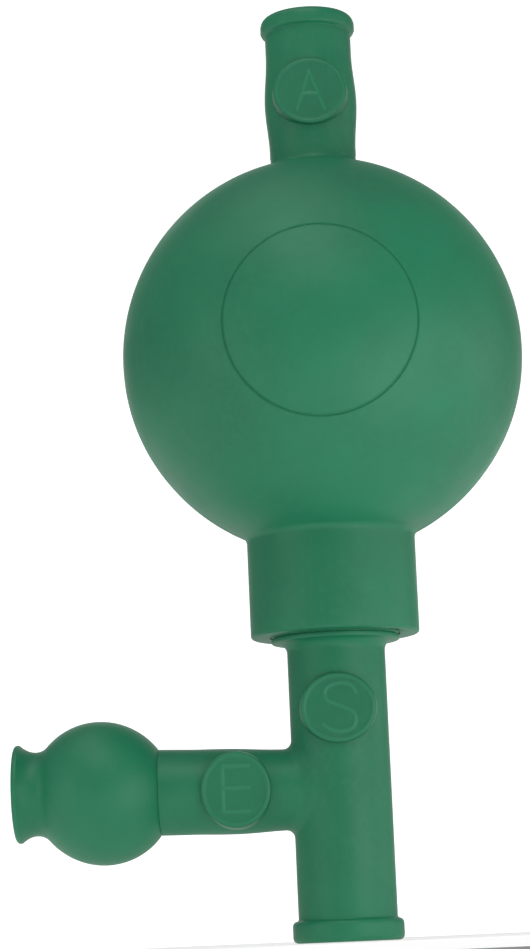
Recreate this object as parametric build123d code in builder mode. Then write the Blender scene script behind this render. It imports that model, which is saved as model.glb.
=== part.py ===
from build123d import *
from math import sqrt
import os

# Rubber pipette filler with three pinch valves. Millimetres, +Z up, origin at the centre of the
# pipette socket's mouth, under the stem. The stem, the squeeze bulb and the upper neck share the
# Z axis, the side branch runs along -X, and the lettered side faces -Y (the front).
FRONT = -1
BACK = 1

# Main bulb: a hollow ball with a collar below it and a neck above it, in one moulding. The neck
# above neck_split is a node of its own.
bulb_radius = 30.0
bulb_wall = 2.5
bulb_height = 87.0
collar_radius = 12.5
collar_bore_radius = 9.55
collar_bottom = 44.7
neck_radius = 6.5
neck_bore_radius = 2.9
neck_split = 118.0
neck_top = 140.1
mouth_bead_radius = 7.15
mouth_bead_height = 2.9

# Squeeze walls: the round fields of each bulb that travel inwards
bulb_field_radius = 13.9
wall_gap = 0.15

# Tee piece: plug head, stem with a beaded foot, and the side branch, in one moulding. The plug
# stands a little proud below the collar.
stem_radius = 7.25
foot_bead_radius = 8.15
foot_bead_height = 3.1
plug_radius = 9.5
plug_length = 13.0
plug_proud = 0.9
plug_root_fillet = 1.4
socket_radius = 3.5
socket_depth = 15.0
channel_radius = 2.9
branch_height = 22.4
branch_radius = 6.2
branch_root_fillet = 1.2
branch_end = -26.8
spigot_radius = 4.7
spigot_length = 2.6

# Blow-out bulb, on the branch's end, with a throat that flares out to its mouth
blow_radius = 10.55
blow_wall = 2.0
blow_joint_radius = 6.3
blow_throat_radius = 6.15
blow_throat_length = 1.7
blow_flare_radius = 7.2
blow_flare_length = 1.9
blow_mouth_end = -48.1
blow_mouth_bore_radius = 3.6
blow_socket_bore_radius = 4.75
blow_field_radius = 5.6

# Pinch valves: a ball gripped in the tube, which swells on the two thinner tubes, with a round
# coin on each side
valve_ball_radius = 4.0
pocket_gap = 0.03
coin_radius = 5.1
coin_gap = 0.15
pinch_travel = 1.2
relief_depth = pinch_travel + 0.15
rim_width = 0.6
relief_height = 0.22
stroke_width = 0.55
swell_half_length = 7.6
valve_a = (0.0, 0.0, 126.5)
valve_s = (0.0, 0.0, 33.6)
valve_e = (-15.4, 0.0, branch_height)
swollen_radius_a = 6.95
swollen_radius_e = 6.45
coin_face_a = 7.3
coin_face_s = 7.75
coin_face_e = 6.85

bulb_centre = (0.0, 0.0, bulb_height)
blow_reach = sqrt(blow_radius**2 - blow_joint_radius**2)
blow_centre = (branch_end - blow_reach, 0.0, branch_height)
branch_axis = Axis((0, 0, branch_height), (-1, 0, 0))

os.makedirs("parts", exist_ok=True)


def save(piece, name):
    """Label one finished piece and write it as its own STEP file."""
    piece.label = name
    export_step(piece, f"parts/{name}.step")


def coin_plane(centre, side, distance):
    """Plane that faces out of a tube, at a distance from its axis, with its own Y pointing up."""
    origin = (centre[0], side * distance, centre[2])
    return Plane(origin=origin, x_dir=(-side, 0, 0), z_dir=(0, side, 0))


def letter_lines(letter):
    """Centre lines of one valve letter, about its own middle."""
    with BuildLine() as lines:
        if letter == "A":
            Polyline((-2.1, -3.0), (0, 3.0), (2.1, -3.0))
            Line((-1.22, -0.5), (1.22, -0.5))
        if letter == "E":
            Polyline((1.9, 3.4), (-1.9, 3.4), (-1.9, -3.2), (1.8, -3.2))
            Line((-1.9, 0.2), (1.8, 0.2))
        if letter == "S":
            Spline(
                (2.5, 2.3), (0.3, 3.5), (-1.9, 2.1), (0.2, 0.2), (2.4, -1.7), (0.3, -3.5), (-2.2, -2.4)
            )
    return lines.line


def pinch_coin(outside, centre, side, face_distance, letter):
    """Round coin that stands on the tube: flat face, raised rim and, in front, a letter."""
    with BuildPart() as coin:
        with BuildSketch(coin_plane(centre, side, face_distance)):
            Circle(coin_radius)
        extrude(amount=-face_distance / 2)
        add(outside, mode=Mode.SUBTRACT)
        with BuildSketch(coin_plane(centre, side, face_distance)):
            Circle(coin_radius)
            Circle(coin_radius - rim_width, mode=Mode.SUBTRACT)
        extrude(amount=relief_height)
        rim_top = coin.faces().sort_by(Axis.Y)[0 if side == FRONT else -1]
        fillet(rim_top.edges(), radius=relief_height / 2)
        if letter:
            with BuildSketch(coin_plane(centre, side, face_distance)):
                trace(letter_lines(letter), line_width=stroke_width)
            extrude(amount=relief_height)
    return coin.part


def coin_relief(outside, centre, side):
    """Room behind a coin: the tube's own surface, let in by the coin's travel."""
    clear_of_tube = coin_face_s + 1
    with BuildPart() as relief:
        with BuildSketch(coin_plane(centre, side, clear_of_tube)):
            Circle(coin_radius + coin_gap)
        extrude(amount=-clear_of_tube)
        add(outside.moved(Location((0, -side * relief_depth, 0))), mode=Mode.SUBTRACT)
    return relief.part


def squeeze_wall(centre, radius, thickness, field_radius, side):
    """Round field of a ball's wall, cut free so that it can travel inwards."""
    with BuildPart() as wall:
        with BuildSketch(Plane(origin=centre, x_dir=(1, 0, 0), z_dir=(0, side, 0))):
            Circle(field_radius)
        extrude(amount=radius + 1)
        with Locations(centre):
            Sphere(radius, mode=Mode.INTERSECT)
            Sphere(radius - thickness, mode=Mode.SUBTRACT)
    return wall.part


# Outside of the main bulb, turned about Z
neck_root = bulb_height + sqrt(bulb_radius**2 - neck_radius**2)
collar_top = bulb_height - sqrt(bulb_radius**2 - collar_radius**2)
mouth_bead_bottom = neck_top - mouth_bead_height
with BuildPart() as bulb_outside:
    with BuildSketch(Plane.XZ):
        with BuildLine():
            Polyline((0, collar_bottom), (collar_radius, collar_bottom), (collar_radius, collar_top))
            ThreePointArc(
                (collar_radius, collar_top), (bulb_radius, bulb_height), (neck_radius, neck_root)
            )
            Line((neck_radius, neck_root), (neck_radius, valve_a[2] - swell_half_length))
            Spline(
                (neck_radius, valve_a[2] - swell_half_length),
                (swollen_radius_a, valve_a[2]),
                (neck_radius, valve_a[2] + swell_half_length),
                tangents=((0, 1), (0, 1)),
            )
            Polyline(
                (neck_radius, valve_a[2] + swell_half_length),
                (neck_radius, mouth_bead_bottom),
                (mouth_bead_radius, mouth_bead_bottom),
                (mouth_bead_radius, neck_top),
                (0, neck_top),
                (0, collar_bottom),
            )
        make_face()
    revolve(axis=Axis.Z)
    rings = bulb_outside.edges().filter_by(GeomType.CIRCLE)
    fillet(rings.filter_by_position(Axis.Z, neck_top - 0.1, neck_top + 0.1), radius=1.35)
    fillet(rings.filter_by_position(Axis.Z, neck_root - 0.1, neck_root + 0.1), radius=1.0)
    fillet(rings.filter_by_position(Axis.Z, collar_top - 0.1, collar_top + 0.1), radius=1.2)
    fillet(rings.filter_by_position(Axis.Z, collar_bottom - 0.1, collar_bottom + 0.1), radius=0.4)

# The whole bulb moulding: hollow, open at the collar and at the neck's mouth, with room for its
# moving fields
with BuildPart() as bulb_moulding:
    add(bulb_outside.part)
    with Locations(bulb_centre):
        Sphere(bulb_radius - bulb_wall, mode=Mode.SUBTRACT)
    with Locations(valve_a):
        Sphere(valve_ball_radius + pocket_gap, mode=Mode.SUBTRACT)
    with BuildSketch(Plane.XY.offset(bulb_height)):
        Circle(neck_bore_radius)
    extrude(amount=neck_top - bulb_height, mode=Mode.SUBTRACT)
    with BuildSketch(Plane.XY.offset(collar_bottom)):
        Circle(collar_bore_radius)
    extrude(amount=bulb_height - collar_bottom, mode=Mode.SUBTRACT)
    with BuildSketch(Plane(origin=bulb_centre, x_dir=(1, 0, 0), z_dir=(0, -1, 0))):
        Circle(bulb_field_radius + wall_gap)
    extrude(amount=bulb_radius + 1, both=True, mode=Mode.SUBTRACT)
    add(coin_relief(bulb_outside.part, valve_a, FRONT), mode=Mode.SUBTRACT)
    add(coin_relief(bulb_outside.part, valve_a, BACK), mode=Mode.SUBTRACT)

with BuildPart() as main_bulb:
    add(bulb_moulding.part)
    split(bisect_by=Plane.XY.offset(neck_split), keep=Keep.BOTTOM)
save(main_bulb.part, "main_bulb")

with BuildPart() as upper_neck:
    add(bulb_moulding.part)
    split(bisect_by=Plane.XY.offset(neck_split), keep=Keep.TOP)
save(upper_neck.part, "upper_neck")

# Outside of the tee piece: the stem turned about Z, the branch turned about its own axis
plug_bottom = collar_bottom - plug_proud
plug_top = collar_bottom + plug_length
with BuildPart() as tee_outside:
    with BuildSketch(Plane.XZ):
        with BuildLine():
            Polyline(
                (0, 0),
                (foot_bead_radius, 0),
                (foot_bead_radius, foot_bead_height),
                (stem_radius, foot_bead_height),
                (stem_radius, plug_bottom),
                (plug_radius, plug_bottom),
                (plug_radius, plug_top),
                (0, plug_top),
                (0, 0),
            )
        make_face()
    revolve(axis=Axis.Z)
    rings = tee_outside.edges().filter_by(GeomType.CIRCLE)
    foot_rings = rings.filter_by_position(Axis.Z, -0.1, foot_bead_height + 0.1)
    plug_rings = rings.filter_by_position(Axis.Z, plug_bottom - 0.1, plug_bottom + 0.1)
    top_rings = rings.filter_by_position(Axis.Z, plug_top - 0.1, plug_top + 0.1)
    fillet(foot_rings.group_by(SortBy.RADIUS)[-1], radius=0.8)
    fillet(plug_rings.group_by(SortBy.RADIUS)[0], radius=plug_root_fillet)
    fillet(plug_rings.group_by(SortBy.RADIUS)[-1], radius=0.3)
    chamfer(top_rings, length=0.8)
    with BuildSketch(Plane.XZ):
        with BuildLine():
            Polyline(
                (0, branch_height),
                (0, branch_height + branch_radius),
                (valve_e[0] + swell_half_length, branch_height + branch_radius),
            )
            Spline(
                (valve_e[0] + swell_half_length, branch_height + branch_radius),
                (valve_e[0], branch_height + swollen_radius_e),
                (valve_e[0] - swell_half_length, branch_height + branch_radius),
                tangents=((-1, 0), (-1, 0)),
            )
            Polyline(
                (valve_e[0] - swell_half_length, branch_height + branch_radius),
                (branch_end, branch_height + branch_radius),
                (branch_end, branch_height + spigot_radius),
                (branch_end - spigot_length, branch_height + spigot_radius),
                (branch_end - spigot_length, branch_height),
                (0, branch_height),
            )
        make_face()
    revolve(axis=branch_axis)
    crotch = tee_outside.edges().filter_by(GeomType.BSPLINE).filter_by_position(
        Axis.X, -stem_radius - 0.1, -stem_radius / 2
    )
    fillet(crotch, radius=branch_root_fillet)

# Tee piece: the pipette socket, the channels and the ball pockets cut out of that outside
with BuildPart() as tee_piece:
    add(tee_outside.part)
    with BuildSketch(Plane.XY):
        Circle(socket_radius)
    extrude(amount=socket_depth, mode=Mode.SUBTRACT)
    with BuildSketch(Plane.XY):
        Circle(channel_radius)
    extrude(amount=plug_top, mode=Mode.SUBTRACT)
    with BuildSketch(Plane.YZ):
        with Locations((0, branch_height)):
            Circle(channel_radius)
    extrude(amount=branch_end - spigot_length, mode=Mode.SUBTRACT)
    with Locations(valve_s, valve_e):
        Sphere(valve_ball_radius + pocket_gap, mode=Mode.SUBTRACT)
    for side in (FRONT, BACK):
        for valve in (valve_s, valve_e):
            add(coin_relief(tee_outside.part, valve, side), mode=Mode.SUBTRACT)
save(tee_piece.part, "tee_piece")

# Blow-out bulb, turned about the branch's axis: joint end, ball, throat and flared mouth
throat_start = blow_centre[0] - sqrt(blow_radius**2 - blow_throat_radius**2)
throat_end = throat_start - blow_throat_length
flare_end = throat_end - blow_flare_length
with BuildPart() as blow_out_bulb:
    with BuildSketch(Plane.XZ):
        with BuildLine():
            Line((branch_end, branch_height), (branch_end, branch_height + blow_joint_radius))
            ThreePointArc(
                (branch_end, branch_height + blow_joint_radius),
                (blow_centre[0], branch_height + blow_radius),
                (throat_start, branch_height + blow_throat_radius),
            )
            Line(
                (throat_start, branch_height + blow_throat_radius),
                (throat_end, branch_height + blow_throat_radius),
            )
            Spline(
                (throat_end, branch_height + blow_throat_radius),
                (flare_end, branch_height + blow_flare_radius),
                tangents=((-1, 0), (-1, 0.5)),
            )
            Polyline(
                (flare_end, branch_height + blow_flare_radius),
                (blow_mouth_end, branch_height + blow_flare_radius),
                (blow_mouth_end, branch_height),
                (branch_end, branch_height),
            )
        make_face()
    revolve(axis=branch_axis)
    rings = blow_out_bulb.edges().filter_by(GeomType.CIRCLE)
    mouth_rings = rings.filter_by_position(Axis.X, blow_mouth_end - 0.1, blow_mouth_end + 0.1)
    throat_rings = rings.filter_by_position(Axis.X, throat_start - 0.1, throat_start + 0.1)
    fillet(mouth_rings, radius=0.5)
    fillet(throat_rings, radius=2.0)
    with Locations(blow_centre):
        Sphere(blow_radius - blow_wall, mode=Mode.SUBTRACT)
    with BuildSketch(Plane(origin=blow_centre, x_dir=(0, 1, 0), z_dir=(-1, 0, 0))):
        Circle(blow_mouth_bore_radius)
    extrude(amount=blow_centre[0] - blow_mouth_end, mode=Mode.SUBTRACT)
    with BuildSketch(Plane(origin=blow_centre, x_dir=(0, 1, 0), z_dir=(1, 0, 0))):
        Circle(blow_socket_bore_radius)
    extrude(amount=branch_end - blow_centre[0], mode=Mode.SUBTRACT)
    with BuildSketch(Plane(origin=blow_centre, x_dir=(1, 0, 0), z_dir=(0, -1, 0))):
        Circle(blow_field_radius + wall_gap)
    extrude(amount=blow_radius + 1, both=True, mode=Mode.SUBTRACT)
save(blow_out_bulb.part, "blow_out_bulb")

# Squeeze walls and pinch coins, front and back
sides = {"front": FRONT, "back": BACK}
for side_name, side in sides.items():
    field = squeeze_wall(bulb_centre, bulb_radius, bulb_wall, bulb_field_radius, side)
    save(field, f"bulb_squeeze_wall_{side_name}")
    field = squeeze_wall(blow_centre, blow_radius, blow_wall, blow_field_radius, side)
    save(field, f"blow_out_squeeze_wall_{side_name}")

valves = {
    "a": (bulb_outside.part, valve_a, coin_face_a),
    "s": (tee_outside.part, valve_s, coin_face_s),
    "e": (tee_outside.part, valve_e, coin_face_e),
}
for valve_name, (outside, centre, face_distance) in valves.items():
    front = pinch_coin(outside, centre, FRONT, face_distance, valve_name.upper())
    save(front, f"valve_{valve_name}_pad_front")
    back = pinch_coin(outside, centre, BACK, face_distance, "")
    save(back, f"valve_{valve_name}_pad_back")
    with BuildPart() as valve_ball:
        with Locations(centre):
            Sphere(valve_ball_radius)
    save(valve_ball.part, f"valve_{valve_name}_ball")
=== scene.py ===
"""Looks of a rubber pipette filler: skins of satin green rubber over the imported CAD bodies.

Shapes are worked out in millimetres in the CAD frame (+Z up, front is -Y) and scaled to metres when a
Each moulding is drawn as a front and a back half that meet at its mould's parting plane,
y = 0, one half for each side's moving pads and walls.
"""
import math

import bmesh
import bpy
import numpy as np
from mathutils import Matrix, Vector


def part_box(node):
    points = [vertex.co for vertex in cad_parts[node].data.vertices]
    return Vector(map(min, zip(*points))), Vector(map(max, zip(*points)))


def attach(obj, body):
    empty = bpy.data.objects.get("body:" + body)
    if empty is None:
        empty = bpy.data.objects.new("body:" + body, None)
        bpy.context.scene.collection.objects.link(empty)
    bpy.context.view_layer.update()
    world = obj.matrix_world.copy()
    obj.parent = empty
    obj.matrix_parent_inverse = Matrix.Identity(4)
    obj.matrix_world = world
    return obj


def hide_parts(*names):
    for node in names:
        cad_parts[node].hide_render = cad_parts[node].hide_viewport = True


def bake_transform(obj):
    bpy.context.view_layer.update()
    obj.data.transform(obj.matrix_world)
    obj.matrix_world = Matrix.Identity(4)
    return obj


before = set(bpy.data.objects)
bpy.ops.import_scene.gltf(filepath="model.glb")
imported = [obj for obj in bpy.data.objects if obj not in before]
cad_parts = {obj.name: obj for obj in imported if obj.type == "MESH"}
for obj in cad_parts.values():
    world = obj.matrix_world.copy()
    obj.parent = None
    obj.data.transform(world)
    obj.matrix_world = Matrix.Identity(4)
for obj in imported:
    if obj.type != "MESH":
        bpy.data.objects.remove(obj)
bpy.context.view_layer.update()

METRES = 0.001
SIDES = {"front": -1, "back": 1}
CREST = "crest"


def node_box(node):
    """Lowest and highest corner of a CAD node, in millimetres."""
    low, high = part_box(node)
    return np.array(low) / METRES, np.array(high) / METRES


# Sizes read from the CAD nodes
bulb_low, _ = node_box("main_bulb")
neck_low, neck_high = node_box("upper_neck")
wall_low, wall_high = node_box("bulb_squeeze_wall_front")
_, tee_high = node_box("tee_piece")
blow_low, blow_high = node_box("blow_out_bulb")
ball_a_low, ball_a_high = node_box("valve_a_ball")
ball_s_low, ball_s_high = node_box("valve_s_ball")
ball_e_low, ball_e_high = node_box("valve_e_ball")
coin_low, coin_high = node_box("valve_s_pad_front")
blow_wall_low, blow_wall_high = node_box("blow_out_squeeze_wall_front")

BULB_RADIUS = -wall_low[1]
BULB_HEIGHT = (wall_low[2] + wall_high[2]) / 2
FIELD_RADIUS = (wall_high[0] - wall_low[0]) / 2
NECK_TOP = neck_high[2]
NECK_SPLIT = neck_low[2]
COLLAR_BOTTOM = bulb_low[2]
PLUG_TOP = tee_high[2]
COIN_RADIUS = (coin_high[0] - coin_low[0]) / 2
VALVE_A = (ball_a_low + ball_a_high) / 2
VALVE_S = (ball_s_low + ball_s_high) / 2
VALVE_E = (ball_e_low + ball_e_high) / 2
BALL_RADIUS = (ball_s_high[2] - ball_s_low[2]) / 2
BRANCH_HEIGHT = VALVE_E[2]
BRANCH_END = blow_high[0]
BLOW_MOUTH = blow_low[0]
BLOW_CENTRE = (blow_wall_low + blow_wall_high) / 2
BLOW_RADIUS = -blow_wall_low[1]

# Sizes of the mouldings that no node's box shows
BULB_WALL = 2.5
COLLAR_RADIUS = 12.5
COLLAR_BORE = 9.55
NECK_RADIUS = 6.5
NECK_SWELL = 0.47
BORE = 2.9
MOUTH_BEAD = 7.15
STEM_RADIUS = 7.25
FOOT_BEAD = 8.15
PLUG_RADIUS = 9.5
PLUG_PROUD = 0.9
SOCKET_BORE = 3.5
SOCKET_DEPTH = 15.0
BRANCH_RADIUS = 5.95
BRANCH_END_RADIUS = 6.3
BRANCH_SWELL = 0.2
BRANCH_RISE = 0.03
BRANCH_RISE_START = 11.5
BRANCH_RISE_EASE = 3
BRANCH_ROOT_FILLET = 1.2
SWELL_HALF = 7.6
SPIGOT_RADIUS = 4.7
SPIGOT_LENGTH = 2.6
BLOW_WALL = 2.0
BLOW_JOINT = 6.3
BLOW_THROAT = 6.15
BLOW_FLARE = 7.2
BLOW_BORE = 3.6
STUB_END = -8.7
POCKET_RADIUS = BALL_RADIUS + 0.03
CAD_RELIEF = 0.22
FLASH_HALF_WIDTH = 0.3
FLASH_HEIGHT = 0.05
SHARP_ANGLE = 38


# ---------------------------------------------------------------- profiles

def arc(centre, radius, start, end, steps):
    """Points along an arc of a profile, both ends included; angles in degrees from the +radius direction."""
    angles = np.radians(np.linspace(start, end, steps + 1))
    return [(centre[0] + radius * math.cos(a), centre[1] + radius * math.sin(a)) for a in angles]


def rounded(points, radii, steps=5):
    """A run of straight profile lines with each inner corner rounded to its own radius."""
    out = [points[0]]
    for before, corner, after, radius in zip(points, points[1:], points[2:], radii):
        if not radius:
            out.append(corner)
            continue
        corner_v = np.array(corner, float)
        to_before = np.array(before, float) - corner_v
        to_after = np.array(after, float) - corner_v
        to_before /= np.linalg.norm(to_before)
        to_after /= np.linalg.norm(to_after)
        half = math.acos(np.clip(to_before @ to_after, -1, 1)) / 2
        reach = radius / math.tan(half)
        middle = to_before + to_after
        centre = corner_v + middle / np.linalg.norm(middle) * radius / math.sin(half)
        first, last = corner_v + to_before * reach - centre, corner_v + to_after * reach - centre
        turn = math.atan2(first[0] * last[1] - first[1] * last[0], first @ last)
        start = math.atan2(first[1], first[0])
        for k in range(steps + 1):
            a = start + turn * k / steps
            out.append((centre[0] + radius * math.cos(a), centre[1] + radius * math.sin(a)))
    out.append(points[-1])
    return out


def line(start, end, steps):
    """Points along a straight stretch of profile, the last one left out."""
    return [tuple(np.array(start) + (np.array(end) - np.array(start)) * k / steps) for k in range(steps)]


def ball_fillet(tube, ball, height, fillet, way):
    """Fillet where a tube of radius tube leaves a ball: (tangent height on the tube, elevation in
    degrees on the ball, arc points from the ball to the tube). way is 1 above the ball, -1 below."""
    rise = math.sqrt((ball + fillet) ** 2 - (tube + fillet) ** 2)
    elevation = math.degrees(math.atan2(rise, tube + fillet))
    centre = (tube + fillet, height + way * rise)
    points = arc(centre, fillet, way * (elevation + 180), way * 180, 5)
    return centre[1], elevation, points


def swell(distance, amount):
    """Extra radius of a tube at a distance along it from the valve ball that stretches it."""
    if abs(distance) >= SWELL_HALF:
        return 0.0
    return amount * math.cos(math.pi / 2 * distance / SWELL_HALF) ** 2


# ---------------------------------------------------------------- meshes

def lathe(loop, angles, origin, axis, up, side):
    """Grid of points: each loop point (radius, position along axis) turned through half a circle,
    from the up direction (angle 0) over the front or back to its opposite (angle 180)."""
    loop = np.array(loop, float)
    turn = np.radians(np.array(angles, float))
    out = np.array((0.0, side, 0.0))
    spokes = np.outer(np.cos(turn), up) + np.outer(np.sin(turn), out)
    along = np.array(origin)[None, :] + np.outer(loop[:, 1], axis)
    return along[:, None, :] + loop[:, 0][:, None, None] * spokes[None, :, :]


def grid_faces(rows, columns, closed, skipped=()):
    """Quads of a grid of points, numbered row by row. closed joins the last row to the first."""
    faces = []
    for r in range(rows if closed else rows - 1):
        below, above = r * columns, (r + 1) % rows * columns
        for c in range(columns - 1):
            if (r, c) not in skipped:
                faces.append((below + c, below + c + 1, above + c + 1, above + c))
    return faces


def make_piece(name, points, faces, material, sharp=SHARP_ANGLE):
    """A shaded mesh object from points in millimetres, its normals turned outwards."""
    mesh = bpy.data.meshes.new(name)
    mesh.from_pydata((np.array(points).reshape(-1, 3) * METRES).tolist(), [], faces)
    shape = bmesh.new()
    shape.from_mesh(mesh)
    bmesh.ops.remove_doubles(shape, verts=shape.verts, dist=1e-7)
    bmesh.ops.recalc_face_normals(shape, faces=shape.faces)
    shape.to_mesh(mesh)
    shape.free()
    mesh.polygons.foreach_set("use_smooth", [True] * len(mesh.polygons))
    mesh.set_sharp_from_angle(angle=math.radians(sharp))
    mesh.materials.append(material)
    piece = bpy.data.objects.new(name, mesh)
    bpy.context.scene.collection.objects.link(piece)
    return piece


def add_parting_line(points, outward):
    """Raise the thin flash that a mould leaves along its parting plane: points near y = 0 move along
    their outward directions."""
    near = np.clip(1 - np.abs(points[..., 1]) / FLASH_HALF_WIDTH, 0, 1) ** 2
    outward = outward / np.maximum(np.linalg.norm(outward, axis=-1, keepdims=True), 1e-9)
    return points + outward * (near * FLASH_HEIGHT)[..., None]


def half_solid(name, loop, angles, origin, axis, up, side, material, shape=None):
    """Closed half of a turned moulding: a loop profile turned half round and capped at y = 0."""
    points = lathe(loop, angles, origin, axis, up, side)
    if shape:
        points = shape(points)
    rows, columns = points.shape[:2]
    faces = grid_faces(rows, columns, closed=True)
    faces.append(tuple(r * columns for r in range(rows)))
    faces.append(tuple(r * columns + columns - 1 for r in reversed(range(rows))))
    return make_piece(name, points, faces, material)


def follow(piece, weight):
    """Bake a piece's placement into its mesh and work out a weight at each point, from the fixed moulding to
    a moving pad or wall; the weights are not kept.
    """
    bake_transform(piece)
    points = np.array([v.co for v in piece.data.vertices], float) / METRES
    values = weight(points).astype(np.float32)
    return piece


def ease(t):
    """Smooth step from 0 to 1, flat at both ends."""
    t = np.clip(t, 0, 1)
    return t * t * (3 - 2 * t)


def pad_weight(centre, across, along, reach_across, reach_along, bore, outside):
    """Weight of a tube's wall under a pinch coin: 1 under the coin, fading to 0 across and along the
    tube, and fading through the wall so that the bore keeps its shape."""
    def weight(points):
        offset = points - centre
        a, b = offset @ across, offset @ along
        distance = np.hypot(a, b)
        angle = np.arctan2(b, a)
        reach = 1 / np.hypot(np.cos(angle) / reach_across, np.sin(angle) / reach_along)
        flat = 1 - ease((distance - COIN_RADIUS - 0.1) / (reach - COIN_RADIUS - 0.1))
        from_axis = np.hypot(a, offset[:, 1])
        through = ease((from_axis - bore) / (outside - bore - 0.3))
        return flat * through
    return weight


def wall_weight(centre, full, none):
    """Weight of a ball's wall: 1 inside the squeeze field, fading to 0 before the ball's edge."""
    def weight(points):
        distance = np.hypot(points[:, 0] - centre[0], points[:, 2] - centre[2])
        return 1 - ease((distance - full) / (none - full))
    return weight


# ---------------------------------------------------------------- materials

def node(tree, kind, **settings):
    """A new shader node with its settings made."""
    made = tree.nodes.new(kind)
    for key, value in settings.items():
        setattr(made, key, value)
    return made


def noise(tree, scale, detail, roughness=0.5):
    """Noise in the object's own coordinates; scale is in repeats per metre."""
    coordinates = node(tree, "ShaderNodeTexCoord")
    texture = node(tree, "ShaderNodeTexNoise")
    texture.inputs["Scale"].default_value = scale
    texture.inputs["Detail"].default_value = detail
    texture.inputs["Roughness"].default_value = roughness
    tree.links.new(coordinates.outputs["Object"], texture.inputs["Vector"])
    return texture.outputs["Fac"]


def remap(tree, value, low, high, to_low, to_high):
    """A value moved from one range to another."""
    mapped = node(tree, "ShaderNodeMapRange")
    mapped.inputs["From Min"].default_value = low
    mapped.inputs["From Max"].default_value = high
    mapped.inputs["To Min"].default_value = to_low
    mapped.inputs["To Max"].default_value = to_high
    tree.links.new(value, mapped.inputs["Value"])
    return mapped.outputs["Result"]


def mix(tree, factor, first, second):
    """Mix of two colours, each a plain colour or another node's output."""
    mixed = node(tree, "ShaderNodeMix", data_type="RGBA")
    tree.links.new(factor, mixed.inputs["Factor"])
    for socket, value in ((mixed.inputs["A"], first), (mixed.inputs["B"], second)):
        if isinstance(value, tuple):
            socket.default_value = (*value, 1)
        else:
            tree.links.new(value, socket)
    return mixed.outputs["Result"]


def rubber(name, base, raised_colour=None):
    """Satin moulded rubber: a fine pebbled skin, faint cloudy bloom and slightly uneven gloss. Where
    a piece's crest attribute rises towards 1, the raised rim and strokes are painted a lighter green."""
    material = bpy.data.materials.new(name)
    material.use_nodes = True
    tree = material.node_tree
    shader = tree.nodes["Principled BSDF"]
    deep = tuple(0.82 * c for c in base)
    bloom = tuple(0.96 * c + 0.006 for c in base)
    clouds = remap(tree, noise(tree, 55, 3), 0.35, 0.68, 0, 1)
    flecks = remap(tree, noise(tree, 900, 2), 0.45, 0.75, 0, 0.5)
    colour = mix(tree, clouds, deep, base)
    colour = mix(tree, flecks, colour, bloom)
    # raised relief painted a lighter green, as far as its crest attribute reaches
    if raised_colour:
        crest = node(tree, "ShaderNodeAttribute", attribute_name=CREST)
        colour = mix(tree, crest.outputs["Fac"], colour, raised_colour)
    tree.links.new(colour, shader.inputs["Base Color"])
    gloss = remap(tree, noise(tree, 140, 4), 0.3, 0.7, 0.44, 0.54)
    tree.links.new(gloss, shader.inputs["Roughness"])
    shader.inputs["Specular IOR Level"].default_value = 0.4
    grain = node(tree, "ShaderNodeBump")
    grain.inputs["Strength"].default_value = 0.14
    grain.inputs["Distance"].default_value = 0.00006
    tree.links.new(noise(tree, 3200, 2), grain.inputs["Height"])
    waves = node(tree, "ShaderNodeBump")
    waves.inputs["Strength"].default_value = 0.25
    waves.inputs["Distance"].default_value = 0.0003
    tree.links.new(noise(tree, 110, 2), waves.inputs["Height"])
    tree.links.new(grain.outputs["Normal"], waves.inputs["Normal"])
    tree.links.new(waves.outputs["Normal"], shader.inputs["Normal"])
    return material


def steel(name):
    """Polished ball steel with fine handling marks."""
    material = bpy.data.materials.new(name)
    material.use_nodes = True
    tree = material.node_tree
    shader = tree.nodes["Principled BSDF"]
    shader.inputs["Metallic"].default_value = 1
    tone = remap(tree, noise(tree, 400, 3), 0.3, 0.7, 0, 1)
    tree.links.new(mix(tree, tone, (0.52, 0.53, 0.54), (0.66, 0.67, 0.68)), shader.inputs["Base Color"])
    marks = remap(tree, noise(tree, 2500, 4), 0.35, 0.7, 0.12, 0.3)
    tree.links.new(marks, shader.inputs["Roughness"])
    return material


GREEN = (0.009, 0.192, 0.090)
moulding = rubber("moulding_rubber", GREEN)
branch_rubber = rubber("branch_rubber", (0.009, 0.188, 0.088))
# The coins' raised rims and letter strokes are painted this lighter green through the crest attribute
coin_rubber = rubber("coin_rubber", (0.0085, 0.168, 0.079), raised_colour=(0.013, 0.196, 0.095))
ball_steel = steel("ball_steel")

X, Z = np.array((1.0, 0, 0)), np.array((0, 0, 1.0))


# ---------------------------------------------------------------- main bulb

# The ball is a grid of points STEP degrees apart, finer beside the parting plane. A square block of it,
# BLOCK points each way from the middle of the front or back, is redrawn round the squeeze field.
STEP = 1.8
EDGE_ANGLES = [0, 0.25, 0.6]
BULB_ANGLES = EDGE_ANGLES + [STEP * k for k in range(1, 100)] + [180 - a for a in reversed(EDGE_ANGLES)]
MIDDLE_COLUMN = BULB_ANGLES.index(90.0)
BLOCK = 26
FIRST_FLASH_ROW = 18
FLASH_ROWS_ABOVE = 44
# Rings of the squeeze field, from its middle out: (radius, height above the ball's surface)
GROOVE = [
    (FIELD_RADIUS - 0.42, 0.0), (FIELD_RADIUS - 0.24, 0.015), (FIELD_RADIUS - 0.14, -0.05),
    (FIELD_RADIUS - 0.06, -0.2), (FIELD_RADIUS + 0.06, -0.2), (FIELD_RADIUS + 0.14, -0.05),
    (FIELD_RADIUS + 0.24, 0.02), (FIELD_RADIUS + 0.45, 0.0),
]
DISC_RINGS = 11
FIELD_RINGS = [((FIELD_RADIUS - 0.42) * k / DISC_RINGS, 0.0) for k in range(DISC_RINGS)] + GROOVE


def square_angle(i, j):
    """Direction, in radians, of grid point (i, j) when its square ring is drawn out to a circle."""
    if abs(i) > abs(j):
        return math.pi / 4 * j / i + (0 if i > 0 else math.pi)
    return math.pi / 2 - math.pi / 4 * i / j + (0 if j > 0 else math.pi)


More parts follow.
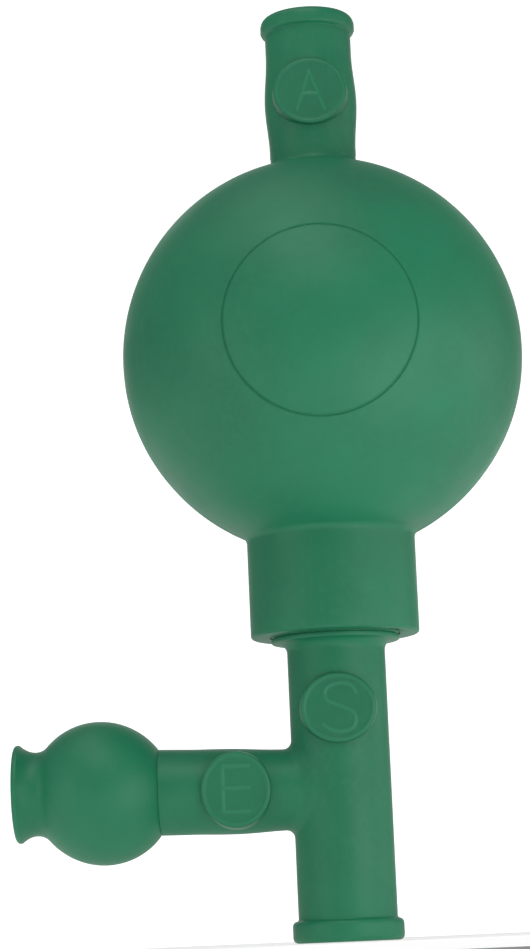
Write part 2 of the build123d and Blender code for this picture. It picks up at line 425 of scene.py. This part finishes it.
def settle_field(points, middle_row, side):
    """Redraw the block of grid points round the ball's front as circles about the Y axis, so that the
    ring line is a true circular groove."""
    last = len(FIELD_RINGS) - 1
    for j in range(-BLOCK, BLOCK + 1):
        for i in range(-BLOCK, BLOCK + 1):
            k = max(abs(i), abs(j))
            if k == BLOCK:
                continue
            angle = square_angle(i, j) if k else 0.0
            radius, proud = FIELD_RINGS[min(k, last)]
            x, z = -radius * math.cos(angle), radius * math.sin(angle)
            point = np.array((x, side * math.sqrt(BULB_RADIUS**2 - radius**2), z))
            if k > last:
                turn = math.radians(90 + STEP * BLOCK * i / k)
                rise = math.radians(STEP * BLOCK * j / k)
                edge = BULB_RADIUS * np.array((
                    math.cos(rise) * math.cos(turn), side * math.cos(rise) * math.sin(turn),
                    math.sin(rise),
                ))
                point = point + (edge - point) * (k - last) / (BLOCK - last)
                proud = 0.0
            point = point / np.linalg.norm(point) * (BULB_RADIUS + proud)
            points[middle_row + j, MIDDLE_COLUMN + i] = point + BULB_HEIGHT * Z
    return points


def bulb_loop():
    """Profile of the ball with its collar and the foot of its neck, and the row of its widest point."""
    _, low_elevation, low_fillet = ball_fillet(COLLAR_RADIUS, BULB_RADIUS, BULB_HEIGHT, 1.2, -1)
    _, high_elevation, high_fillet = ball_fillet(NECK_RADIUS, BULB_RADIUS, BULB_HEIGHT, 1.0, 1)
    outer = rounded(
        [
            (COLLAR_BORE, COLLAR_BOTTOM + 1.2), (COLLAR_BORE, COLLAR_BOTTOM),
            (COLLAR_RADIUS, COLLAR_BOTTOM), (COLLAR_RADIUS, COLLAR_BOTTOM + 2),
        ],
        [0.2, 0.45],
    )
    between = len(outer) // 2
    rim_start, rim_end = (COLLAR_BORE + 0.5, COLLAR_BOTTOM), (COLLAR_RADIUS - 0.5, COLLAR_BOTTOM)
    outer[between:between] = line(rim_start, rim_end, 5)
    outer += line((COLLAR_RADIUS, COLLAR_BOTTOM + 2.6), low_fillet[-1], 14)
    outer += reversed(low_fillet)
    rows_below, rows_above = math.floor(low_elevation / STEP), math.floor(high_elevation / STEP)
    rows = [STEP * k for k in range(-rows_below, rows_above + 1)]
    middle_row = len(outer) + rows.index(0)
    for elevation in rows:
        a = math.radians(elevation)
        outer.append((BULB_RADIUS * math.cos(a), BULB_HEIGHT + BULB_RADIUS * math.sin(a)))
    outer += high_fillet
    outer.append((NECK_RADIUS, NECK_SPLIT))
    inside = BULB_RADIUS - BULB_WALL
    top = math.degrees(math.acos(BORE / inside))
    bottom = math.degrees(math.acos(COLLAR_BORE / inside))
    inner = [(BORE, NECK_SPLIT)] + arc((0, BULB_HEIGHT), inside, top, -bottom, 48)
    inner += [(COLLAR_BORE, PLUG_TOP - 3)]
    return outer + inner, middle_row


def shape_bulb(side, middle_row):
    """Everything done to the turned bulb's points: field, parting line and the collar's lip."""
    def shape(points):
        points = settle_field(points, middle_row, side)
        lifted = add_parting_line(points, points - BULB_CENTRE)
        outer = slice(FIRST_FLASH_ROW, middle_row + FLASH_ROWS_ABOVE)
        points[outer] = lifted[outer]
        return lift_lip(points)
    return shape


LIP_ANGLE = 60.0
LIP_HALF = 20.0
LIP_RISE = 0.55
LIP_HEIGHT = 2.0
LIP_WIDTH = 1.6


def lift_lip(points):
    """The collar's inner edge stands off the plug over a short stretch at the front right, where the
    glue line gapes."""
    turn = np.degrees(np.arctan2(points[..., 0], -points[..., 1]))
    sector = 1 - ease(np.abs(turn - LIP_ANGLE) / LIP_HALF)
    low = 1 - ease((points[..., 2] - COLLAR_BOTTOM) / LIP_HEIGHT)
    radius = np.hypot(points[..., 0], points[..., 1])
    inner = 1 - ease((radius - COLLAR_BORE - 0.4) / LIP_WIDTH)
    points[..., 2] += LIP_RISE * sector * low * inner
    return points


BULB_LOOP, BULB_MIDDLE_ROW = bulb_loop()
BULB_CENTRE = np.array((0, 0, BULB_HEIGHT))
BULB_BEND_END = 26.5
for side_name, side in SIDES.items():
    skin = half_solid(
        f"bulb_skin_{side_name}", BULB_LOOP, BULB_ANGLES, (0, 0, 0), Z, X, side, moulding,
        shape_bulb(side, BULB_MIDDLE_ROW),
    )
    weight = wall_weight(BULB_CENTRE, FIELD_RADIUS + 0.5, BULB_BEND_END)
    follow(skin, weight)
    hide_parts("main_bulb", f"bulb_squeeze_wall_{side_name}")


# ---------------------------------------------------------------- upper neck

def neck_loop():
    """Profile of the neck above the ball: swollen round the A valve's ball, beaded at its mouth."""
    outer = []
    for z in np.arange(NECK_SPLIT, NECK_TOP - 3.1, 0.5):
        outer.append((NECK_RADIUS + swell(z - VALVE_A[2], NECK_SWELL), z))
    outer += rounded(
        [
            (NECK_RADIUS, NECK_TOP - 3.1), (NECK_RADIUS, NECK_TOP - 2.8), (MOUTH_BEAD, NECK_TOP - 2.5),
            (MOUTH_BEAD, NECK_TOP), (BORE, NECK_TOP), (BORE, NECK_TOP - 1.5),
        ],
        [0.2, 0.5, 1.25, 0.7], 7,
    )
    pocket = math.degrees(math.acos(BORE / POCKET_RADIUS))
    inner = arc((0, VALVE_A[2]), POCKET_RADIUS, pocket, -pocket, 16) + [(BORE, NECK_SPLIT)]
    return outer + inner


NECK_ANGLES = [0, 2.2] + [4.5 * k for k in range(1, 40)] + [177.8, 180]


def shape_neck(points):
    """Parting line on the neck's outside, but not in its bore."""
    away = points - points * Z
    outer = np.linalg.norm(away, axis=-1) > BORE + 2.1
    lifted = add_parting_line(points, away)
    points[outer] = lifted[outer]
    return points


NECK_BEND_HALF = 8.3
for side_name, side in SIDES.items():
    skin = half_solid(
        f"neck_skin_{side_name}", neck_loop(), NECK_ANGLES, (0, 0, 0), Z, X, side, moulding,
        shape_neck,
    )
    outside = NECK_RADIUS + NECK_SWELL
    weight = pad_weight(VALVE_A, X, Z, NECK_RADIUS - 0.1, NECK_BEND_HALF, BALL_RADIUS, outside)
    follow(skin, weight)
    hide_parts("upper_neck")


# ---------------------------------------------------------------- tee piece: stem

# The stem is a grid of points STEM_STEP degrees and STEM_RISE millimetres apart. A block of it, EDGE
# points each way from the branch's middle, is pulled out into a stub whose end is the block's ring RING.
GLUE_LINE = 0.2
RING = 12
EDGE = 32
STUB_SHARE = 0.4
STEM_STEP = 2.5
STEM_RISE = 0.3
STEM_BEND_HALF = 9.3
STEM_ANGLES = [STEM_STEP * k for k in range(73)]


def tee_distance(p):
    """Signed distance to the stem and the branch, with a fillet where they meet."""
    stem = np.hypot(p[:, 0], p[:, 1]) - STEM_RADIUS
    branch = np.hypot(p[:, 1], p[:, 2] - BRANCH_HEIGHT) - BRANCH_RADIUS
    near = (stem < BRANCH_ROOT_FILLET) & (branch < BRANCH_ROOT_FILLET)
    blended = BRANCH_ROOT_FILLET - np.hypot(BRANCH_ROOT_FILLET - stem, BRANCH_ROOT_FILLET - branch)
    return np.where(near, blended, np.minimum(stem, branch))


def onto_tee(points, rounds=12, small=1e-4):
    """Move points onto the filleted surface, down its slope."""
    for _ in range(rounds):
        value = tee_distance(points)
        slope = np.stack([
            tee_distance(points + small * axis) - tee_distance(points - small * axis)
            for axis in np.eye(3)
        ], axis=1) / (2 * small)
        points = points - slope * (value / np.maximum((slope**2).sum(1), 1e-9))[:, None]
    return points


def stem_block(points, middle_row, side):
    """Pull the block of stem points round the branch out along it: its inner ring becomes the end of
    a stub of branch, and the rings between run over the fillet."""
    found, where = [], []
    last = points.shape[1] - 1
    for j in range(-EDGE, EDGE + 1):
        for i in range(EDGE + 1):
            k = max(i, abs(j))
            if k < RING or k == EDGE:
                continue
            angle = math.pi / 2 - square_angle(i, j)
            t = (k - RING) / (EDGE - RING)
            ring = np.array((0, side * BRANCH_RADIUS * math.sin(angle), BRANCH_RADIUS * math.cos(angle)))
            corner_x = -math.sqrt(STEM_RADIUS**2 - ring[1] ** 2)
            if t < STUB_SHARE:
                out_x = STUB_END + (corner_x - STUB_END) * t / STUB_SHARE
                point = ring + X * out_x + Z * BRANCH_HEIGHT
            else:
                share = (t - STUB_SHARE) / (1 - STUB_SHARE)
                corner_turn = math.asin(BRANCH_RADIUS * math.sin(angle) / STEM_RADIUS)
                edge_turn = math.radians(STEM_STEP * EDGE * i / k)
                turn = corner_turn + (edge_turn - corner_turn) * share
                z = ring[2] + (STEM_RISE * EDGE * j / k - ring[2]) * share
                point = np.array((
                    -STEM_RADIUS * math.cos(turn), side * STEM_RADIUS * math.sin(turn), BRANCH_HEIGHT + z,
                ))
            found.append(point)
            where.append((middle_row + j, last - i, k))
    settled = onto_tee(np.array(found))
    for (row, column, k), before, after in zip(where, found, settled):
        points[row, column] = before if k == RING else after
    return points


def stem_loop():
    """Outside profile of the tee piece's stem, foot to plug, and the row at the branch's height."""
    low, high = BRANCH_HEIGHT - STEM_RISE * EDGE, BRANCH_HEIGHT + STEM_RISE * EDGE
    outer = rounded(
        [(0.01, 0), (FOOT_BEAD, 0), (FOOT_BEAD, 3.1), (STEM_RADIUS, 3.25), (STEM_RADIUS, 4.2)],
        [0.8, 0.8, 0.3],
    )
    outer += line((STEM_RADIUS, 5.0), (STEM_RADIUS, low), 9)
    middle_row = len(outer) + EDGE
    outer += line((STEM_RADIUS, low), (STEM_RADIUS, high), 2 * EDGE)
    outer += line((STEM_RADIUS, high), (STEM_RADIUS, COLLAR_BOTTOM - 2.5), 16)
    outer += rounded(
        [
            (STEM_RADIUS, COLLAR_BOTTOM - 2.4), (STEM_RADIUS, COLLAR_BOTTOM - PLUG_PROUD),
            (PLUG_RADIUS, COLLAR_BOTTOM - PLUG_PROUD), (PLUG_RADIUS, COLLAR_BOTTOM - GLUE_LINE),
            (PLUG_RADIUS - GLUE_LINE, COLLAR_BOTTOM - GLUE_LINE), (PLUG_RADIUS - GLUE_LINE, COLLAR_BOTTOM),
            (PLUG_RADIUS, COLLAR_BOTTOM + 0.2), (PLUG_RADIUS, PLUG_TOP), (0.01, PLUG_TOP),
        ],
        [1.4, 0.3, 0.12, 0.05, 0.05, 0, 0.8],
    )
    return outer, middle_row


def tee_stem(name, side, material):
    """Half of the tee piece's stem with a stub of its branch, still solid."""
    loop, middle_row = stem_loop()
    points = lathe(loop, STEM_ANGLES, (0, 0, 0), Z, X, side)
    points = stem_block(points, middle_row, side)
    rows, columns = points.shape[:2]
    last = columns - 1
    inside = {(middle_row + j, last - 1 - i) for j in range(-RING, RING) for i in range(RING)}
    faces = grid_faces(rows, columns, closed=False, skipped=inside)

    def at(row, column):
        return row * columns + column

    ring = [at(middle_row + RING, last - i) for i in range(RING)]
    ring += [at(middle_row + j, last - RING) for j in range(RING, -RING, -1)]
    ring += [at(middle_row - RING, last - i) for i in range(RING, -1, -1)]
    faces.append(tuple(ring))
    faces.append(tuple(at(0, c) for c in range(columns)))
    faces.append(tuple(at(rows - 1, c) for c in range(columns)))
    outline = [at(r, 0) for r in range(rows)]
    outline += [at(r, last) for r in range(rows - 1, -1, -1) if abs(r - middle_row) >= RING]
    faces.append(tuple(outline))
    used = sorted({n for face in faces for n in face})
    number = {old: new for new, old in enumerate(used)}
    faces = [tuple(number[n] for n in face) for face in faces]
    return make_piece(name, points.reshape(-1, 3)[used], faces, material)


def cutter(name, loop, origin, axis, up):
    """Full turned solid, used to bore another and then removed."""
    points = lathe(loop, [7.5 * k for k in range(49)], origin, axis, up, 1)
    rows, columns = points.shape[:2]
    faces = grid_faces(rows, columns, closed=False)
    faces.append(tuple(range(columns - 1)))
    faces.append(tuple((rows - 1) * columns + c for c in reversed(range(columns - 1))))
    return make_piece(name, points, faces, moulding)


def bore_out(piece, tool):
    """Cut a tool's shape out of a piece, for good."""
    cut = piece.modifiers.new("bore", "BOOLEAN")
    cut.operation = "DIFFERENCE"
    cut.solver = "EXACT"
    cut.object = tool
    bpy.context.view_layer.update()
    result = piece.evaluated_get(bpy.context.evaluated_depsgraph_get())
    mesh = bpy.data.meshes.new_from_object(result)
    piece.modifiers.clear()
    old = piece.data
    piece.data = mesh
    mesh.name = piece.name
    bpy.data.meshes.remove(old)
    mesh.set_sharp_from_angle(angle=math.radians(SHARP_ANGLE))
    bpy.data.objects.remove(tool)


def stem_bore():
    """Profile of the socket, the channel above it and the S valve's pocket."""
    pocket = math.degrees(math.acos(BORE / POCKET_RADIUS))
    loop = rounded(
        [
            (SOCKET_BORE + 0.6, -0.5), (SOCKET_BORE + 0.35, 0), (SOCKET_BORE, 0.5),
            (SOCKET_BORE, SOCKET_DEPTH),
        ],
        [0, 0.2], 3,
    )
    loop += [(BORE, SOCKET_DEPTH)]
    loop += arc((0, VALVE_S[2]), POCKET_RADIUS, -pocket, pocket, 16)
    return loop + [(BORE, PLUG_TOP + 1)]


for side_name, side in SIDES.items():
    skin = tee_stem(f"stem_skin_{side_name}", side, moulding)
    bore_out(skin, cutter("stem_bore", stem_bore(), (0, 0, 0), Z, X))
    bore_out(skin, cutter("branch_bore", [(BORE, 0.5), (BORE, 10)], (0, 0, BRANCH_HEIGHT), -X, Z))
    weight = pad_weight(VALVE_S, X, Z, STEM_RADIUS - 0.1, STEM_BEND_HALF, BALL_RADIUS, STEM_RADIUS)
    follow(skin, weight)
    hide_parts("tee_piece")


# ---------------------------------------------------------------- tee piece: branch

def lift_branch(points):
    """The rubber branch rises slightly towards its free end."""
    out = np.maximum(-points[..., 0] - BRANCH_RISE_START, 0)
    points[..., 2] += BRANCH_RISE * out**2 / (out + BRANCH_RISE_EASE)
    return points


def branch_loop():
    """Profile of the branch from its stub to its spigot, as (radius, distance towards -X)."""
    start, end = -STUB_END, -BRANCH_END
    outer = []
    for s in np.linspace(start, end - 0.3, 40):
        share = ease((s - start) / (end - start))
        taper = BRANCH_RADIUS + (BRANCH_END_RADIUS - BRANCH_RADIUS) * share
        outer.append((taper + swell(s + VALVE_E[0], BRANCH_SWELL), s))
    outer += rounded(
        [
            (BRANCH_END_RADIUS, end - 0.25), (BRANCH_END_RADIUS, end - 0.02),
            (SPIGOT_RADIUS, end - 0.02), (SPIGOT_RADIUS, end + SPIGOT_LENGTH),
            (BORE, end + SPIGOT_LENGTH),
        ],
        [0.07, 0, 0.3],
    )
    pocket = math.degrees(math.acos(BORE / POCKET_RADIUS))
    inner = arc((0, -VALVE_E[0]), POCKET_RADIUS, pocket, -pocket, 16) + [(BORE, start)]
    return outer + inner


BRANCH_ANGLES = [3.75 * k for k in range(49)]
BRANCH_BEND_HALF = 6.6
for side_name, side in SIDES.items():
    skin = half_solid(
        f"branch_skin_{side_name}", branch_loop(), BRANCH_ANGLES, (0, 0, BRANCH_HEIGHT), -X, Z, side,
        branch_rubber, lift_branch,
    )
    reach = BRANCH_RADIUS - 0.1
    weight = pad_weight(VALVE_E, Z, X, reach, BRANCH_BEND_HALF, BALL_RADIUS, BRANCH_RADIUS)
    follow(skin, weight)
    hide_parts("tee_piece")


# ---------------------------------------------------------------- blow-out bulb

def blow_loop():
    """Profile of the blow-out bulb from its joint to its flared mouth, as (radius, distance to -X)."""
    joint, mouth, middle = -BRANCH_END, -BLOW_MOUTH, -BLOW_CENTRE[0]
    joint_angle = math.degrees(math.acos(BLOW_JOINT / BLOW_RADIUS))
    fillet = 2.4
    rise = math.sqrt((BLOW_RADIUS + fillet) ** 2 - (BLOW_THROAT + fillet) ** 2)
    throat_angle = math.degrees(math.atan2(rise, BLOW_THROAT + fillet))
    outer = [(SPIGOT_RADIUS + 0.05, joint), (BLOW_JOINT - 0.06, joint), (BLOW_JOINT, joint + 0.05)]
    outer += arc((0, middle), BLOW_RADIUS, -joint_angle + 1.6, throat_angle, 40)
    outer += arc((BLOW_THROAT + fillet, middle + rise), fillet, throat_angle + 180, 180, 8)[1:]
    flare_start = middle + rise
    for k in range(1, 9):
        share = k / 8
        outer.append((
            BLOW_THROAT + (BLOW_FLARE - BLOW_THROAT) * share**2,
            flare_start + (mouth - 0.75 - flare_start) * share,
        ))
    outer += rounded(
        [
            (BLOW_FLARE, mouth - 0.7), (BLOW_FLARE + 0.05, mouth), (BLOW_BORE, mouth),
            (BLOW_BORE, mouth - 1.5),
        ],
        [0.5, 0.6], 7,
    )
    inside = BLOW_RADIUS - BLOW_WALL
    mouth_angle = math.degrees(math.acos(BLOW_BORE / inside))
    spigot_angle = math.degrees(math.acos((SPIGOT_RADIUS + 0.05) / inside))
    return outer + arc((0, middle), inside, mouth_angle, -spigot_angle, 24)


BLOW_FIELD = 3.6
BLOW_BEND_END = 8.2
BLOW_ANGLES = [0, 1.6] + [3.75 * k for k in range(1, 48)] + [178.4, 180]
for side_name, side in SIDES.items():
    skin = half_solid(
        f"blow_out_skin_{side_name}", blow_loop(), BLOW_ANGLES, (0, 0, BRANCH_HEIGHT), -X, Z, side,
        moulding, lift_branch,
    )
    follow(skin, wall_weight(BLOW_CENTRE, BLOW_FIELD, BLOW_BEND_END))
    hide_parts("blow_out_bulb", f"blow_out_squeeze_wall_{side_name}")


# ---------------------------------------------------------------- pinch coins

# Coins: the letters' strokes are drawn on the face, as seen by a reader, from its centre
RELIEF = 0.13
RIM_INSET = 0.42
STROKE_HALF = 0.4
RIM_HALF = 0.36
# share of the lighter paint given to the rim; the letter's strokes get all of it
RIM_LIGHTENING = 0.6
ACROSS = 1.08
PINCH_ROOM = 1.35
COIN_STROKES = {
    "a": [[(-2.1, -3.0), (0, 2.9), (2.1, -3.0)], [(-1.22, -0.5), (1.22, -0.5)]],
    "s": [[
        (2.6, 2.1), (2.0, 3.1), (0.3, 3.55), (-1.5, 3.0), (-1.95, 2.0), (-1.4, 1.0), (0.2, 0.25),
        (1.9, -0.6), (2.4, -1.8), (1.9, -3.0), (0.3, -3.55), (-1.2, -3.2), (-2.3, -2.3),
    ]],
    "e": [[(1.9, 3.4), (-1.9, 3.4), (-1.9, -3.2), (1.8, -3.2)], [(-1.9, 0.2), (1.8, 0.2)]],
}


def smooth_run(points, steps=6):
    """Curve through a run of points."""
    points = [np.array(p, float) for p in points]
    padded = [2 * points[0] - points[1], *points, 2 * points[-1] - points[-2]]
    out = []
    for a, b, c, d in zip(padded, padded[1:], padded[2:], padded[3:]):
        for t in np.arange(steps) / steps:
            out.append(0.5 * (2 * b + (c - a) * t + (2 * a - 5 * b + 4 * c - d) * t**2
                              + (3 * b - a - 3 * c + d) * t**3))
    return [*out, points[-1]]


def distance_to_run(u, v, run):
    """Distance from points (u, v) to a run of straight lines."""
    best = np.full(u.shape, 99.0)
    for (au, av), (bu, bv) in zip(run, run[1:]):
        du, dv = bu - au, bv - av
        t = np.clip(((u - au) * du + (v - av) * dv) / (du * du + dv * dv), 0, 1)
        best = np.minimum(best, np.hypot(u - au - t * du, v - av - t * dv))
    return best


def ridge(distance, half):
    """Share of the relief's height at a distance from the centre line of a ridge."""
    return 1 - ease(distance / half)


def coin(name, centre, side, face, across, runs):
    """Pad with a raised soft rim and, in front, a raised letter, a little wider across its tube than
    along it. Its side spreads a little towards the tube, and its back is hollow over the ball."""
    turns = np.radians(np.arange(0, 361, 2.25))
    wide = 1 + (ACROSS - 1) * np.array((across == "X", across == "Z"))
    radii = np.append(np.arange(0, COIN_RADIUS - 0.13, 0.125), COIN_RADIUS - 0.06)
    rows, crests = [], []
    for radius in radii:
        u, v = radius * np.cos(turns) * wide[0], radius * np.sin(turns) * wide[1]
        rim = ridge(np.full(turns.shape, abs(radius - COIN_RADIUS + RIM_INSET)), RIM_HALF)
        letter = np.zeros(turns.shape)
        for run in runs:
            letter = np.maximum(letter, ridge(distance_to_run(u, v, run), STROKE_HALF))
        rows.append((u, v, RELIEF * np.maximum(rim, letter)))
        # the raised rim and strokes are painted lighter in proportion to their crest
        crests.append(np.maximum(RIM_LIGHTENING * rim, letter))
    hollow = BALL_RADIUS + PINCH_ROOM - face
    skirt = [(0.0, -0.12), (0.04, -0.5), (0.1, -1.4), (0.18, -2.4), (0.2, -3.3), (-0.5, -3.3)]
    for radius, depth in [*skirt, (-0.9, hollow), (-COIN_RADIUS, hollow)]:
        spread = COIN_RADIUS + radius
        u, v = spread * np.cos(turns) * wide[0], spread * np.sin(turns) * wide[1]
        rows.append((u, v, np.full(turns.shape, depth)))
        crests.append(np.zeros(turns.shape))
    points = np.array([
        np.stack([centre[0] - side * u, side * (face + h), centre[2] + v], axis=1) for u, v, h in rows
    ])
    faces = grid_faces(*points.shape[:2], closed=False)
    piece = make_piece(name, points, faces, coin_rubber, sharp=50)
    paint_crest(piece, points, np.array(crests))
    return piece


def paint_crest(piece, points, crests):
    """Store each point's share of the relief on the finished mesh, where it sets how much lighter the rubber
    is painted.
    """
    at = {tuple(np.round(p, 4)): c for p, c in zip(points.reshape(-1, 3), crests.reshape(-1))}
    values = [at.get(tuple(np.round(np.array(v.co) / METRES, 4)), 0.0) for v in piece.data.vertices]
    attribute = piece.data.attributes.new(CREST, "FLOAT", "POINT")
    attribute.data.foreach_set("value", np.array(values, np.float32))


VALVES = {"a": VALVE_A, "s": VALVE_S, "e": VALVE_E}
for valve, centre in VALVES.items():
    for side_name, side in SIDES.items():
        pad = f"valve_{valve}_pad_{side_name}"
        pad_low, pad_high = node_box(pad)
        face = max(-pad_low[1], pad_high[1]) - CAD_RELIEF
        runs = COIN_STROKES[valve] if side_name == "front" else []
        if valve == "s":
            runs = [smooth_run(run) for run in runs]
        across = "Z" if valve == "e" else "X"
        piece = coin(f"valve_{valve}_coin_{side_name}", centre, side, face, across, runs)
        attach(piece, pad)
        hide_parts(pad)

# The valve balls keep their CAD shape
for node_name, cad_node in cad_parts.items():
    if node_name.endswith("_ball"):
        cad_node.data.materials.clear()
        cad_node.data.materials.append(ball_steel)


# ---------------------------------------------------------------- floor, light and camera

def stage_plane(name, corners, paint, glow):
    """Flat matt surface that is part of the studio; it may glow softly like a light table."""
    mesh = bpy.data.meshes.new(name)
    mesh.from_pydata(corners, [], [(0, 1, 2, 3)])
    material = bpy.data.materials.new(f"{name}_paint")
    material.use_nodes = True
    shader = material.node_tree.nodes["Principled BSDF"]
    shader.inputs["Base Color"].default_value = (paint, paint, paint, 1)
    shader.inputs["Roughness"].default_value = 0.9
    shader.inputs["Specular IOR Level"].default_value = 0
    shader.inputs["Emission Color"].default_value = (1, 1, 1, 1)
    shader.inputs["Emission Strength"].default_value = glow
    mesh.materials.append(material)
    made = bpy.data.objects.new(name, mesh)
    bpy.context.scene.collection.objects.link(made)


def area_light(name, place, target, size, power):
    """Square soft light aimed at a point; places in metres, power in watts."""
    data = bpy.data.lights.new(name, "AREA")
    data.size = size
    data.energy = power
    lamp = bpy.data.objects.new(name, data)
    lamp.location = place
    lamp.rotation_euler = (Vector(target) - Vector(place)).to_track_quat("-Z", "Y").to_euler()
    bpy.context.scene.collection.objects.link(lamp)


def sky(strength):
    """Even white surroundings."""
    world = bpy.data.worlds.new("studio")
    world.use_nodes = True
    background = world.node_tree.nodes["Background"]
    background.inputs["Color"].default_value = (1, 1, 1, 1)
    background.inputs["Strength"].default_value = strength
    bpy.context.scene.world = world


def camera(distance, sideways, height, azimuth, pitch, roll, focal_pixels):
    """Camera in front, low, looking a little up and rolled; distances in metres, angles in degrees."""
    a, p, r = (math.radians(v) for v in (azimuth, pitch, roll))
    right = Vector((math.cos(a), math.sin(a), 0))
    forward = Vector((-math.sin(a) * math.cos(p), math.cos(a) * math.cos(p), math.sin(p)))
    above = right.cross(forward)
    place = right * sideways + Vector((math.sin(a), -math.cos(a), 0)) * distance + Vector((0, 0, height))
    across = right * math.cos(r) - above * math.sin(r)
    upward = right * math.sin(r) + above * math.cos(r)
    data = bpy.data.cameras.new("camera")
    data.sensor_width = 36
    data.lens = focal_pixels / PICTURE_HEIGHT * data.sensor_width
    made = bpy.data.objects.new("camera", data)
    made.matrix_world = Matrix.Translation(place) @ Matrix((across, upward, -forward)).transposed().to_4x4()
    bpy.context.scene.collection.objects.link(made)
    bpy.context.scene.camera = made


PICTURE_HEIGHT = 949
FLOOR = [(-3, -3, -0.0001), (3, -3, -0.0001), (3, 3, -0.0001), (-3, 3, -0.0001)]
BACKDROP = [(-0.8, 1.6, -0.01), (0.8, 1.6, -0.01), (0.8, 1.6, 1.2), (-0.8, 1.6, 1.2)]
stage_plane("floor", FLOOR, paint=0.8, glow=0.42)
stage_plane("backdrop", BACKDROP, paint=0.8, glow=0.75)
sky(0.27)
middle = (0, 0, 0.07)
area_light("right_softbox", (0.55, 0.05, 0.06), middle, 0.35, 0.5)
area_light("right_front", (0.45, -0.3, 0.05), middle, 0.3, 0.55)
area_light("overhead", (-0.15, -0.1, 0.6), middle, 0.45, 0.6)
area_light("top_front", (0, -0.35, 0.5), middle, 0.3, 0.7)
area_light("left_front", (-0.45, -0.3, 0.15), middle, 0.3, 0.35)
area_light("low_card", (0.09, -0.13, 0.003), middle, 0.1, 0.09)
bpy.context.scene.view_settings.view_transform = "Standard"
camera(
    distance=0.416, sideways=-0.00938, height=0.00043, azimuth=1.5, pitch=9.42, roll=2.45,
    focal_pixels=2817,
)
